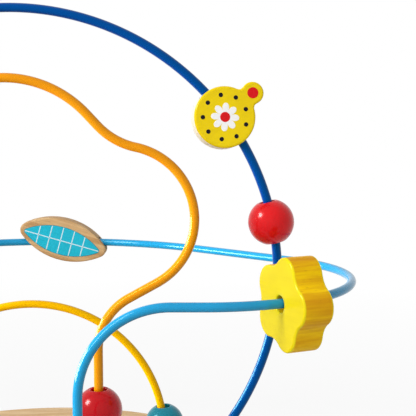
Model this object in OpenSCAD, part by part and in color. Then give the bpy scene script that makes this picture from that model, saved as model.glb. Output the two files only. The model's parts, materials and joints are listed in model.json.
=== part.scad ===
// Bead maze: four bent and coated wires on a round wooden board, with wooden beads that run along them.
// Lengths are in millimetres. X points right, Y away from the viewer and Z up.
// The origin is the middle of the underside, on the surface that the maze stands on.

/* [Board] */
// Diameter of the round board
board_d = 282; // [270:1:320]
// Thickness of the board
board_t = 20; // [18:1:30]
// Rounding of the board's upper edge
board_round = 6; // [2:0.5:8]
// Rounding of the board's lower edge
board_heel = 2.5; // [1:0.5:6]

/* [Foot pads] */
// Diameter of a rubber foot pad
pad_d = 26; // [18:1:34]
// Thickness of a foot pad
pad_t = 4; // [3:0.5:6]
// Depth of a foot pad's recess in the board
pad_recess = 2; // [1:0.5:2.5]
// Distance of the foot pads from the middle of the board
pad_reach = 110; // [80:1:115]

/* [Wire ends] */
// Depth of a wire's socket in the board
socket_depth = 14; // [8:1:15]
// Diameter of a collar's shank
collar_d = 10; // [8:0.5:11]
// Diameter of a collar's flange
flange_d = 15; // [13:0.5:20]
// Thickness of a collar's flange
flange_t = 4; // [2:0.5:6]

/* [Wire] */
// Diameter of the coated wire
wire_d = 5; // [4:0.1:6]

/* [Hoop wire] */
// Bend radius of the hoop
hoop_r = 144; // [135:1:155]
// Height of the hoop's centre above the board
hoop_rise = 131; // [120:1:140]
// Bend radius at each foot of the hoop
hoop_foot_r = 60; // [40:1:70]
// Distance of the hoop in front of the board's middle
hoop_front = 45; // [36:1:52]

/* [Wavy wire] */
// Distance of each leg from the middle
wavy_leg_x = 47.5; // [44:0.5:55]
// Distance of the wavy wire in front of the board's middle
wavy_front = 63; // [57:1:69]
// Height of a leg's straight run above the board
wavy_leg_rise = 93.5; // [90:0.5:105]
// Bend radius where a leg swings outwards
wavy_swing_r = 32; // [28:1:36]
// Bend angle where a leg swings outwards
wavy_swing_angle = 61; // [57:1:64]
// Straight run between the swing and the side lobe
wavy_swing_run = 17.2; // [10:0.2:24]
// Bend radius of a side lobe
wavy_lobe_r = 38.7; // [36:0.1:41]
// Bend angle of a side lobe
wavy_lobe_angle = 139; // [136:1:142]
// Bend radius of the neck above a side lobe
wavy_neck_r = 38; // [32:1:42]
// Bend angle of the neck above a side lobe
wavy_neck_angle = 35; // [32:1:38]
// Straight run between a neck and the crest
wavy_neck_run = 8.5; // [4:0.5:14]

/* [Loop wire] */
// Height of the level loop above the board
loop_rise = 124.3; // [118:0.1:132]
// Distance of each leg from the middle
loop_leg_x = 41; // [36:0.5:44]
// Distance of the legs in front of the board's middle
loop_front = 100; // [95:1:103]
// Bend radius where a leg turns level
loop_leg_r = 46.5; // [42:0.5:50]
// Straight run between the leg's bend and the end turn
loop_front_run = 16.5; // [10:0.5:22]
// Bend radius of an end turn
loop_turn_r = 84; // [78:1:88]
// Bend angle of an end turn
loop_turn_angle = 140; // [136:1:144]
// Bend radius of the back
loop_back_r = 154; // [145:1:165]

/* [Arch wire] */
// Bend radius of the arch
arch_r = 85; // [78:1:90]
// Height of the arch's centre above the board
arch_rise = 10; // [8:0.5:14]
// Sideways offset of the arch to the left
arch_left = 8; // [0:1:12]
// Distance of the arch behind the board's middle
arch_back = 52; // [40:1:65]

/* [Beads] */
// Diameter of a round bead
bead_d = 25; // [23:0.5:28]
// Bore of the round beads, the barrel and the disc
bore_d = 8.6; // [8:0.1:9.2]
// Bevel at the mouth of a bore
bore_bevel = 0.8; // [0.4:0.1:1.5]
// Least gap between a bead and what it rests on
bead_play = 0.3; // [0.2:0.05:0.5]
// How far the flower and the leaf hang below their level wire
level_drop = 0.5; // [0.2:0.05:1]

/* [Barrel bead] */
// Length of the barrel bead
barrel_l = 45; // [38:1:47]
// Diameter of the barrel bead's ends
barrel_end_d = 19; // [16:0.5:22]

/* [Disc bead] */
// Diameter of the disc
disc_d = 33; // [30:0.5:36]
// Thickness of the disc
disc_t = 15; // [13:0.5:17]
// Radius of the round tab on the disc's rim
tab_r = 6; // [4.5:0.25:7]
// Distance of the tab's centre from the disc's centre
tab_reach = 19.8; // [18:0.2:22]
// Radius of the fillets beside the tab
tab_fillet_r = 2.7; // [1.5:0.1:4]
// Turn of the tab in the disc's face, from square to the bore
tab_turn = 4; // [-10:1:10]
// Turn of the disc about the wire
disc_spin = 9.5; // [0:0.5:15]

/* [Flower bead] */
// Number of petals
petals = 5; // [5:1:6]
// Distance of the petal tips from the bore
petal_reach = 24.8; // [22:0.2:27]
// Radius of a petal's round end
petal_r = 10; // [9:0.5:11]
// Radius of the hollows between the petals
petal_hollow_r = 12; // [8:0.5:16]
// Thickness of the flower
flower_t = 17; // [12:0.5:20]
// Turn of the petals about the bore
flower_turn = 2; // [-36:1:36]
// Skew of the flower on its wire
flower_skew = 8; // [0:0.5:10]

/* [Leaf bead] */
// Length of the leaf
leaf_l = 63.2; // [58:0.2:70]
// Width of the leaf
leaf_w = 29.4; // [24:0.2:32]
// Radius of the leaf's round tips
leaf_tip_r = 5.5; // [3:0.5:7]
// Thickness of the leaf
leaf_t = 13; // [12:0.5:17]
// Distance of the leaf's bore below the leaf's middle
leaf_bore_low = 2.7; // [0:0.1:4]
// Slope of the leaf's length across its bore
leaf_slope = 15.9; // [10:0.1:20]
// Lean of the leaf's face about the wire
leaf_lean = 0; // [-5:0.5:10]

/* [Bead places] */
// Angle of the disc bead on the hoop, from level on the right
disc_at = 36.8; // [32:0.2:60]
// Angle of the red bead on the hoop, from level on the right
red_hoop_at = 11.8; // [0:0.2:16]
// Angle of the flower on the right end turn, from the front
flower_at = 33; // [15:1:45]
// Angle of the bead on the left end turn, from the front
loop_bead_at = 62; // [30:1:90]
// Angle of the leaf on the back of the loop, to the left of the middle
leaf_at = -0.7; // [-10:0.1:10]
// Direction in which the red bead on the hoop hangs off its wire, from inwards to forwards
red_hoop_lean = 60; // [0:5:90]

/* [Hidden] */
$fn = 72;
// Facets of the largest rounds
large_fn = 180;
// Cuts run past the faces that they open by this much
overrun = 1;
// Gap on each side of a piece that is pressed or glued into another
seat_fit = 0.05;
// Every second step of a wire is thinner by this much on its radius
wire_hair = 0.05;
// Every second step of a wire laps into its neighbours by this much
wire_lap = 0.5;
// Rounds of an outline overlap where they would only touch
outline_hair = 0.02;

hoop_blue = [0.05, 0.22, 0.62];
wavy_orange = [0.93, 0.58, 0.05];
loop_cyan = [0.14, 0.62, 0.87];
arch_yellow = [0.95, 0.78, 0.03];
bead_red = [0.84, 0.07, 0.1];
bead_yellow = [0.97, 0.85, 0.05];
bead_green = [0.1, 0.55, 0.27];
bead_teal = [0.05, 0.55, 0.55];
bead_blue = [0.08, 0.3, 0.7];
bead_orange = [0.95, 0.48, 0.06];
leaf_teal = [0.2, 0.72, 0.82];
bare_wood = [0.86, 0.71, 0.5];
collar_white = [0.93, 0.93, 0.9];
pad_grey = [0.2, 0.2, 0.21];

// Heights
pad_stand = pad_t - pad_recess;
board_top = pad_stand + board_t;
wire_end_z = board_top - socket_depth;
collar_top = board_top + flange_t;
hoop_z = board_top + hoop_rise;
wavy_leg_z = board_top + wavy_leg_rise;
loop_z = board_top + loop_rise;
arch_z = board_top + arch_rise;

// Half the length of a round bead between the mouths of its bore
mouth_r = bore_d / 2 + bore_bevel;
bead_half = sqrt(pow(bead_d / 2, 2) - pow(mouth_r, 2));
// Height of the middle of a round bead that stands on a collar
bead_stand_z = collar_top + bead_play + bead_half;
// How far a bead hangs below or inside its wire
hang = (bore_d - wire_d) / 2 - bead_play;

// Hoop: each foot's bend starts level with the middle of a bead on the collar and meets the hoop in a tangent
hoop_flare = asin((hoop_z - bead_stand_z) / (hoop_r + hoop_foot_r));
hoop_foot_x = (hoop_r + hoop_foot_r) * cos(hoop_flare) - hoop_foot_r;

// Wavy wire: headings above level along the right half, and the crest radius that closes it at the middle
wavy_swing_head = 90 - wavy_swing_angle;
wavy_lobe_head = wavy_swing_head + wavy_lobe_angle;
wavy_neck_head = wavy_lobe_head - wavy_neck_angle;
wavy_crest_x = wavy_leg_x + wavy_swing_r * (1 - cos(wavy_swing_angle)) + wavy_swing_run * cos(wavy_swing_head)
    + wavy_lobe_r * (sin(wavy_lobe_head) - sin(wavy_swing_head))
    + wavy_neck_r * (sin(wavy_lobe_head) - sin(wavy_neck_head)) + wavy_neck_run * cos(wavy_neck_head);
wavy_crest_r = wavy_crest_x / sin(wavy_neck_head);

// Loop: centres of the end turns and of the back, and the side run that closes it at the middle
loop_turn_x = loop_leg_x + loop_leg_r + loop_front_run;
loop_turn_y = loop_turn_r - loop_front;
loop_side_run = (loop_turn_x + (loop_turn_r - loop_back_r) * sin(loop_turn_angle)) / -cos(loop_turn_angle);
loop_back_y = loop_turn_y + (loop_back_r - loop_turn_r) * cos(loop_turn_angle)
    + loop_side_run * sin(loop_turn_angle);

// Heights of the beads on the wavy wire's legs: each stands on the collar or on the bead below it
barrel_z = collar_top + bead_play + barrel_l / 2;
red_leg_z = barrel_z + barrel_l / 2 + bead_play + bead_half;
blue_leg_z = bead_stand_z + 2 * bead_half + bead_play;

// Angle of a bead that stands on a collar at a foot of the arch
arch_bead_at = asin((bead_stand_z + bead_play - arch_z) / arch_r);

// Leaf: radius of its long edges, and where they meet the round tips
leaf_tip_x = leaf_l / 2 - leaf_tip_r;
leaf_edge_r = (pow(leaf_tip_x, 2) + pow(leaf_w / 2, 2) - pow(leaf_tip_r, 2)) / (leaf_w - 2 * leaf_tip_r);
leaf_blend_x = leaf_tip_x * leaf_edge_r / (leaf_edge_r - leaf_tip_r);
// Longer half of the leaf's bore, from below the leaf's middle to the leaf's long edge
leaf_edge_drop = leaf_edge_r - leaf_w / 2 - leaf_bore_low;
leaf_bore_half = sqrt(pow(leaf_edge_r, 2) - pow(leaf_edge_drop * cos(leaf_slope), 2))
    - leaf_edge_drop * sin(leaf_slope);

// Feet of the wires, as name and place
feet = [
    ["hoop_left", [-hoop_foot_x, -hoop_front]], ["hoop_right", [hoop_foot_x, -hoop_front]],
    ["wavy_left", [-wavy_leg_x, -wavy_front]], ["wavy_right", [wavy_leg_x, -wavy_front]],
    ["loop_left", [-loop_leg_x, -loop_front]], ["loop_right", [loop_leg_x, -loop_front]],
    ["arch_left", [-arch_left - arch_r, arch_back]], ["arch_right", [arch_r - arch_left, arch_back]],
];
// Corners that the foot pads stand at, as name and direction
pad_corners = [["front_left", 225], ["front_right", 315], ["back_right", 45], ["back_left", 135]];

// Wire bending

// One step of a bending program: a straight run, or a bend after the rod is rolled
function run(length) = [length, 0, 0, 0];
function bend(radius, angle, roll = 0) = [0, radius, angle, roll];

module rod_run(length, thin) {
    lap = thin * wire_lap;
    translate([0, 0, -lap])
        cylinder(d = wire_d - 2 * thin * wire_hair, h = length + 2 * lap);
}

// Bends from +Z towards +X
module rod_bend(radius, angle, thin) {
    lap_angle = thin * wire_lap / radius * 180 / PI;
    translate([radius, 0, 0])
        rotate([90, 0, 180])
            rotate([0, 0, -lap_angle])
                rotate_extrude(angle = angle + 2 * lap_angle)
                    translate([radius, 0])
                        circle(d = wire_d - 2 * thin * wire_hair);
}

// Works through a bending program from the first foot to the last
module bent_rod(steps, i = 0) {
    length = steps[i][0];
    radius = steps[i][1];
    angle = steps[i][2];
    rotate([0, 0, steps[i][3]]) {
        if (radius > 0) rod_bend(radius, angle, i % 2);
        else rod_run(length, i % 2);
        if (i + 1 < len(steps))
            translate([radius * (1 - cos(angle)), 0, length + radius * sin(angle)])
                rotate([0, angle, 0])
                    bent_rod(steps, i + 1);
    }
}

module hoop_wire() {
    leg = run(bead_stand_z - wire_end_z);
    foot = bend(hoop_foot_r, hoop_flare, 180);
    color(hoop_blue)
        translate([-hoop_foot_x, -hoop_front, wire_end_z])
            bent_rod([leg, foot, bend(hoop_r, 180 + 2 * hoop_flare, 180), foot, leg]);
}

module wavy_wire() {
    leg = run(wavy_leg_z - wire_end_z);
    swing = bend(wavy_swing_r, wavy_swing_angle, 180);
    lobe = bend(wavy_lobe_r, wavy_lobe_angle, 180);
    neck = bend(wavy_neck_r, wavy_neck_angle, 180);
    crest = bend(wavy_crest_r, 360 - 2 * wavy_neck_head, 180);
    rise = [leg, swing, run(wavy_swing_run), lobe, neck, run(wavy_neck_run)];
    fall = [for (i = [len(rise) - 1:-1:0]) rise[i]];
    color(wavy_orange)
        translate([-wavy_leg_x, -wavy_front, wire_end_z])
            bent_rod(concat(rise, [crest], fall));
}

module loop_wire() {
    leg = run(loop_z - loop_leg_r - wire_end_z);
    front = run(loop_front_run);
    side = run(loop_side_run);
    color(loop_cyan)
        translate([-loop_leg_x, -loop_front, wire_end_z])
            bent_rod([
                leg, bend(loop_leg_r, 90, 180), front, bend(loop_turn_r, loop_turn_angle, -90), side,
                bend(loop_back_r, 360 - 2 * loop_turn_angle),
                side, bend(loop_turn_r, loop_turn_angle), front, bend(loop_leg_r, 90, 90), leg
            ]);
}

module arch_wire() {
    leg = run(arch_z - wire_end_z);
    color(arch_yellow)
        translate([-arch_left - arch_r, arch_back, wire_end_z])
            bent_rod([leg, bend(arch_r, 180), leg]);
}

// Places on the wires: X points away from the bend's centre

// How far a wire of that bend radius bows within a bead of that half length
function bow(half, radius) = radius - sqrt(pow(radius, 2) - pow(half, 2));
// Bore of a bead that hangs by level_drop while its wire strays sideways in the bore by that much
function level_bore_d(stray) = wire_d + 2 * (bead_play + norm([level_drop, stray]));

// Z runs along the wire, and the bead hangs inwards, or forwards when it leans
module on_hoop(angle, lean = 0) {
    translate([0, -hoop_front, hoop_z])
        rotate([0, -angle, 0])
            translate([hoop_r - hang * cos(lean), -hang * sin(lean), 0]) children();
}

module on_hoop_left_foot() {
    translate([-hoop_foot_x - hang, -hoop_front, bead_stand_z]) children();
}

module on_arch(angle) {
    translate([-arch_left, arch_back, arch_z])
        rotate([0, -angle, 0])
            translate([arch_r + hang - bow(bead_half, arch_r), 0, 0]) children();
}

// Y runs along the wire, and Z stays upright
module on_right_turn(angle, drop, half, skew = 0) {
    translate([loop_turn_x, loop_turn_y, loop_z - drop])
        rotate([0, 0, angle - 90])
            translate([loop_turn_r - bow(half, loop_turn_r) / 2, 0, 0])
                rotate([0, 0, -skew]) children();
}

module on_back(angle, drop, half) {
    translate([0, loop_back_y, loop_z - drop])
        rotate([0, 0, angle + 90])
            translate([loop_back_r - bow(half, loop_back_r) / 2, 0, 0]) children();
}

// Board and its fittings

// Half section of a round slab whose edges are rounded
module slab_section(radius, height, top_r, bottom_r) {
    square([radius - max(top_r, bottom_r), height]);
    translate([0, bottom_r]) square([radius, height - top_r - bottom_r]);
    translate([radius - top_r, height - top_r]) circle(top_r);
    translate([radius - bottom_r, bottom_r]) circle(bottom_r);
    square([radius - bottom_r, height / 2]);
}

module at_pad(direction) {
    rotate([0, 0, direction]) translate([pad_reach, 0, 0]) children();
}

module base_board() {
    color(bare_wood)
        difference() {
            translate([0, 0, pad_stand])
                rotate_extrude($fn = large_fn) slab_section(board_d / 2, board_t, board_round, board_heel);
            for (foot = feet)
                translate([foot[1][0], foot[1][1], wire_end_z])
                    cylinder(d = collar_d + 2 * seat_fit, h = socket_depth + overrun);
            for (corner = pad_corners)
                at_pad(corner[1])
                    translate([0, 0, pad_stand - overrun])
                        cylinder(d = pad_d + 2 * seat_fit, h = pad_recess + overrun);
        }
}

module collar(place) {
    color(collar_white)
        translate([place[0], place[1], wire_end_z])
            difference() {
                union() {
                    cylinder(d = collar_d, h = socket_depth + flange_t / 2);
                    translate([0, 0, socket_depth])
                        cylinder(d1 = flange_d, d2 = flange_d - flange_t, h = flange_t);
                }
                translate([0, 0, -overrun])
                    cylinder(d = wire_d + 2 * seat_fit, h = socket_depth + flange_t + 2 * overrun);
            }
}

module foot_pad(direction) {
    color(pad_grey) at_pad(direction) cylinder(d = pad_d, h = pad_t);
}

// Beads, each with its bore along Z and its middle at the origin

// Cuts a bore whose mouths are bevelled at both ends of a bead of that half length
module bore(half, diameter = bore_d) {
    mouth = diameter / 2 + bore_bevel;
    cylinder(d = diameter, h = 2 * (half + mouth), center = true);
    for (end = [0, 180])
        rotate([end, 0, 0])
            translate([0, 0, half - mouth])
                cylinder(r1 = 0, r2 = 2 * mouth, h = 2 * mouth);
}

module round_bead(paint) {
    color(paint)
        difference() {
            sphere(d = bead_d);
            bore(bead_half);
        }
}

module barrel(paint) {
    bulge = (bead_d - barrel_end_d) / 2;
    bulge_r = (pow(barrel_l / 2, 2) + pow(bulge, 2)) / (2 * bulge);
    color(paint)
        difference() {
            rotate_extrude()
                intersection() {
                    translate([0, -barrel_l / 2]) square([bead_d, barrel_l]);
                    translate([bead_d / 2 - bulge_r, 0]) circle(bulge_r, $fn = large_fn);
                }
            bore(barrel_l / 2);
        }
}

// Centre of a fillet of radius r beside two rounds, to the left of the line from the first to the second
function fillet_centre(c1, r1, c2, r2, r) =
    let (
        gap = norm(c2 - c1),
        along = (pow(gap, 2) + pow(r1 + r, 2) - pow(r2 + r, 2)) / (2 * gap),
        aside = sqrt(pow(r1 + r, 2) - pow(along, 2)),
        ahead = (c2 - c1) / gap
    )
    c1 + along * ahead + aside * [-ahead[1], ahead[0]];

module disc_outline() {
    tab = [tab_reach, 0];
    fillet = fillet_centre([0, 0], disc_d / 2, tab, tab_r, tab_fillet_r);
    circle(d = disc_d + 2 * outline_hair);
    translate(tab) circle(tab_r + outline_hair);
    difference() {
        polygon([[0, 0], [fillet[0], -fillet[1]], tab, fillet]);
        translate(fillet) circle(tab_fillet_r);
        translate([fillet[0], -fillet[1]]) circle(tab_fillet_r);
    }
}

// The disc faces -Y, and its tab points along +X
module disc_bead() {
    color(bead_yellow)
        on_hoop(disc_at)
            rotate([0, 0, disc_spin])
                difference() {
                    rotate([90, -tab_turn, 0])
                        linear_extrude(disc_t, center = true) disc_outline();
                    bore(disc_d / 2);
                }
}

module flower_outline() {
    step = 360 / petals;
    petal_at = petal_reach - petal_r;
    tips = [for (i = [0:petals - 1]) petal_at * [cos(i * step), sin(i * step)]];
    hollows = [for (i = [0:petals - 1])
        fillet_centre(tips[(i + 1) % petals], petal_r, tips[i], petal_r, petal_hollow_r)];
    for (tip = tips) translate(tip) circle(petal_r + outline_hair);
    difference() {
        polygon([for (i = [0:petals - 1]) each [tips[i], hollows[i]]]);
        for (hollow = hollows) translate(hollow) circle(petal_hollow_r);
    }
}

module flower_bead() {
    stray = flower_t / 2 * tan(flower_skew) + bow(flower_t / 2, loop_turn_r) / 2;
    color(bead_yellow)
        on_right_turn(flower_at, level_drop, flower_t / 2, flower_skew)
            rotate([90, 0, 0])
                rotate([0, 0, flower_turn])
                    difference() {
                        linear_extrude(flower_t, center = true) flower_outline();
                        bore(flower_t / 2, level_bore_d(stray));
                    }
}

module red_hoop_bead() {
    on_hoop(red_hoop_at, red_hoop_lean) round_bead(bead_red);
}

module green_hoop_bead() {
    on_hoop_left_foot() round_bead(bead_green);
}

module orange_loop_bead() {
    drop = hang - bow(bead_half, loop_turn_r) / 2;
    mirror([1, 0, 0])
        on_right_turn(loop_bead_at, drop, bead_half)
            rotate([90, 0, 0]) round_bead(bead_orange);
}

module barrel_bead() {
    translate([wavy_leg_x, -wavy_front, barrel_z]) barrel(bead_green);
}

module red_leg_bead() {
    translate([wavy_leg_x, -wavy_front, red_leg_z]) round_bead(bead_red);
}

module yellow_leg_bead() {
    translate([-wavy_leg_x, -wavy_front, bead_stand_z]) round_bead(bead_yellow);
}

module blue_leg_bead() {
    translate([-wavy_leg_x, -wavy_front, blue_leg_z]) round_bead(bead_blue);
}

module teal_arch_bead() {
    on_arch(arch_bead_at) round_bead(bead_teal);
}

module red_arch_bead() {
    on_arch(180 - arch_bead_at) round_bead(bead_red);
}

module leaf_outline() {
    intersection() {
        square([2 * leaf_blend_x, leaf_w], center = true);
        translate([0, leaf_w / 2 - leaf_edge_r]) circle(leaf_edge_r, $fn = large_fn);
        translate([0, leaf_edge_r - leaf_w / 2]) circle(leaf_edge_r, $fn = large_fn);
    }
    for (side = [-1, 1]) translate([side * leaf_tip_x, 0]) circle(leaf_tip_r + outline_hair);
}

// The leaf faces the middle of the loop, and its bore runs level
module leaf_bead() {
    stray = bow(leaf_bore_half, loop_back_r) / 2;
    color(leaf_teal)
        on_back(leaf_at, level_drop, leaf_bore_half)
            rotate([0, -leaf_lean, 0])
                difference() {
                    translate([0, 0, leaf_bore_low])
                        rotate([leaf_slope, 0, 0])
                            rotate([90, 0, -90])
                                linear_extrude(leaf_t, center = true) leaf_outline();
                    rotate([90, 0, 0])
                        cylinder(d = level_bore_d(stray), h = leaf_l + 2 * overrun, center = true);
                }
}

base_board();
hoop_wire();
wavy_wire();
loop_wire();
arch_wire();
for (foot = feet)
    collar(foot[1]);
for (corner = pad_corners)
    foot_pad(corner[1]);
disc_bead();
red_hoop_bead();
green_hoop_bead();
flower_bead();
orange_loop_bead();
barrel_bead();
red_leg_bead();
yellow_leg_bead();
blue_leg_bead();
teal_arch_bead();
red_arch_bead();
leaf_bead();
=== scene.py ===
"""Dresses a bead maze: coated wires on a wooden board, painted wooden beads, and a white studio round them.

Every piece is a surface worked out with numpy, in metres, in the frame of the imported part. A piece is made in
its own local coordinates, which its grain follows, and then put in its place on the wire that carries it.
"""

import json
import math

import bpy
import numpy as np
from mathutils import Matrix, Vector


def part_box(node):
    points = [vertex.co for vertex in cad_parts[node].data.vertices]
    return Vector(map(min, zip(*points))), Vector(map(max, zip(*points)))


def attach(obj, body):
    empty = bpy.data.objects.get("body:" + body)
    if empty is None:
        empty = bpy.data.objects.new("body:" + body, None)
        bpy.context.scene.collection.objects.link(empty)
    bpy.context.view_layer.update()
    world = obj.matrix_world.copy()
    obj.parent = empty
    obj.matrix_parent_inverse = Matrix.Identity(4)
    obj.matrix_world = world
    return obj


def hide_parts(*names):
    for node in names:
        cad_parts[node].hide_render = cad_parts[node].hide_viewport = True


bl_info = {
    "name": "Bead maze",
    "version": (1, 0, 0),
    "blender": (4, 5, 0),
    "location": "View3D > Sidebar > Bead maze",
    "description": "Builds the wires, beads, board and studio of a bead maze",
    "category": "Object",
}

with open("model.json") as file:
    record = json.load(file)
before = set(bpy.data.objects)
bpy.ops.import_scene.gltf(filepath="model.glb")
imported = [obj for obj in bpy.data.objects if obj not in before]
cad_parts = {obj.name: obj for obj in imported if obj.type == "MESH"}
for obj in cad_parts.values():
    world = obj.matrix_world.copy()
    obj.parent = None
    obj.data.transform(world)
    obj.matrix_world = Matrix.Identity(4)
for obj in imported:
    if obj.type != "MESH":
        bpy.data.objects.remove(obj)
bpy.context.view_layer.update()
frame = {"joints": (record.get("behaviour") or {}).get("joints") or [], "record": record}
JOINTS = {joint["name"]: joint for joint in frame["joints"]}
NODE_BODY = {node: body for body, nodes in frame["record"]["behaviour"]["bodies"].items() for node in nodes}

MM = 0.001
FULL = 2 * math.pi
SQUARE = math.pi / 2
UP = np.array((0.0, 0.0, 1.0))
# Width of the square picture, in pixels
PICTURE = 416


# Settings


def length(description, millimetres):
    """A size, given in millimetres and kept in metres."""
    return bpy.props.FloatProperty(description=description, default=millimetres * MM, unit="LENGTH")


def angle(description, degrees):
    """An angle, given in degrees and kept in radians."""
    return bpy.props.FloatProperty(description=description, default=math.radians(degrees), subtype="ANGLE")


def count(description, number):
    """A whole number of like things."""
    return bpy.props.IntProperty(description=description, default=number, min=1)


def amount(description, number):
    """A plain number."""
    return bpy.props.FloatProperty(description=description, default=number)


def colour(description, red, green, blue):
    """A colour, given as it is seen, from 0 to 255, and kept as light, by the curve of sRGB."""
    seen = np.array((red, green, blue)) / 255
    light = np.where(seen > 0.04045, ((seen + 0.055) / 1.055) ** 2.4, seen / 12.92)
    return bpy.props.FloatVectorProperty(
        description=description, default=tuple(light), subtype="COLOR", size=3, min=0, max=1
    )


def named(group):
    """Gives each setting of a group its name, which is its attribute's in plain words."""
    for attribute, setting in group.__annotations__.items():
        setting.keywords["name"] = attribute.replace("_", " ").capitalize()
    return group


@named
class WireSizes(bpy.types.PropertyGroup):
    """Sizes of the bent wires. The bends' centres come from the joints that run round them."""

    diameter: length("Diameter of the coated wire", 5)
    end_height: length("Height of the wires' ends inside the board", 8)
    hoop_radius: length("Bend radius of the hoop", 144)
    hoop_foot_radius: length("Bend radius at each foot of the hoop", 60)
    wavy_leg: length("Distance of each leg of the wavy wire from the middle", 47.5)
    wavy_front: length("Distance of the wavy wire in front of the middle", 63)
    wavy_leg_top: length("Height at which a leg of the wavy wire starts to bend", 115.5)
    wavy_swing_radius: length("Bend radius where a leg swings outwards", 32)
    wavy_swing: angle("Bend angle where a leg swings outwards", 61)
    wavy_swing_run: length("Straight run between the swing and the side lobe", 17.2)
    wavy_lobe_radius: length("Bend radius of a side lobe", 38.7)
    wavy_lobe: angle("Bend angle of a side lobe", 139)
    wavy_neck_radius: length("Bend radius of the neck above a side lobe", 38)
    wavy_neck: angle("Bend angle of the neck above a side lobe", 35)
    wavy_neck_run: length("Straight run between a neck and the crest", 8.5)
    loop_leg: length("Distance of each leg of the loop from the middle", 41)
    loop_leg_radius: length("Bend radius where a leg turns level", 46.5)
    loop_turn_radius: length("Bend radius of an end turn", 84)
    loop_turn: angle("Bend angle of an end turn", 140)
    loop_back_radius: length("Bend radius of the loop's back", 154)
    arch_radius: length("Bend radius of the arch", 85)


@named
class BoardSizes(bpy.types.PropertyGroup):
    """Sizes of the board, its collars and its foot pads. Their places come from the frame."""

    edge_round: length("Rounding of the board's upper edge", 6)
    heel_round: length("Rounding of the board's lower edge", 2.5)
    collar_shank: length("Diameter of a collar's shank", 10)
    collar_flange: length("Thickness of a collar's flange", 4)
    collar_taper: length("How much narrower a flange is at its top", 4)
    fit: length("Gap round a piece that is pressed into another", 0.05)
    pad_groove: length("Depth of the grooves under a foot pad", 0.5)


@named
class BeadSizes(bpy.types.PropertyGroup):
    """Sizes of the beads. The places of the round beads come from the frame."""

    diameter: length("Diameter of a round bead", 25)
    bore: length("Diameter of the bore of the round beads, the barrel and the disc", 8.6)
    mouth_round: length("Rounding at the mouth of a bore", 0.9)
    play: length("Least gap between a bead and its wire", 0.3)
    level_drop: length("How far the flower and the leaf hang below their wire", 0.5)
    barrel_end: length("Diameter of the barrel bead's ends", 19)
    edge_round: length("Rounding of the edges of the flat beads", 1.1)
    disc: length("Diameter of the disc bead", 33)
    disc_thickness: length("Thickness of the disc bead", 15)
    tab_radius: length("Radius of the tab on the disc's rim", 6)
    tab_reach: length("Distance of the tab's centre from the disc's centre", 19.8)
    tab_fillet: length("Radius of the fillets beside the tab", 2.7)
    tab_turn: angle("Turn of the tab in the disc's face", 4)
    disc_spin: angle("Turn of the disc about the wire", 9.5)
    disc_place: angle("Angle of the disc on the hoop, from level on the right", 36.8)
    petals: count("Number of petals of the flower bead", 5)
    petal_reach: length("Distance of the petal tips from the bore", 24.8)
    petal_radius: length("Radius of a petal's round end", 10)
    petal_hollow: length("Radius of the hollows between the petals", 12)
    flower_thickness: length("Thickness of the flower bead", 17)
    flower_turn: angle("Turn of the petals about the bore", 2)
    flower_skew: angle("Skew of the flower on its wire", 8)
    flower_place: angle("Angle of the flower on the end turn, from the front", 33)
    leaf_length: length("Length of the leaf bead", 63.2)
    leaf_width: length("Width of the leaf bead", 29.4)
    leaf_tip: length("Radius of the leaf's round tips", 5.5)
    leaf_thickness: length("Thickness of the leaf bead", 13)
    leaf_low: length("Distance of the leaf's bore below the leaf's middle", 2.7)
    leaf_slope: angle("Slope of the leaf's length across its bore", 15.9)
    leaf_place: angle("Angle of the leaf on the loop's back, to the left of the middle", -0.7)


@named
class PrintSizes(bpy.types.PropertyGroup):
    """Sizes of what is painted on the disc and on the leaf."""

    thickness: length("Thickness of a printed layer", 0.06)
    daisy: length("Radius of the daisy in the middle of the disc", 7.6)
    daisy_notch: length("Radius of the notches between the daisy's petals", 3.6)
    daisy_petals: count("Number of petals of the daisy", 8)
    daisy_heart: length("Radius of the middle of the daisy", 2.7)
    dot: length("Radius of a dot in the ring round the daisy", 1.2)
    dot_ring: length("Radius of the ring of dots", 11.9)
    dots: count("Number of dots in the ring", 9)
    tab_dot: length("Radius of the dot on the tab", 3)
    panel_length: length("Length of the panel painted on the leaf", 55.6)
    panel_width: length("Width of the panel painted on the leaf", 20.2)
    panel_tip: length("Radius of the panel's tips", 1.9)
    panel_along: length("Place of the panel along the leaf", -0.6)
    panel_across: length("Place of the panel across the leaf", -0.8)
    panel_edge: length("Width of the dark line round the panel", 0.35)
    line: length("Width of the lines on the panel", 0.7)
    line_step: length("Distance between the lines across the panel", 8.2)
    line_along: length("Place of the middle line across the panel", -0.9)
    lines: count("Number of lines across the panel", 5)


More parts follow.
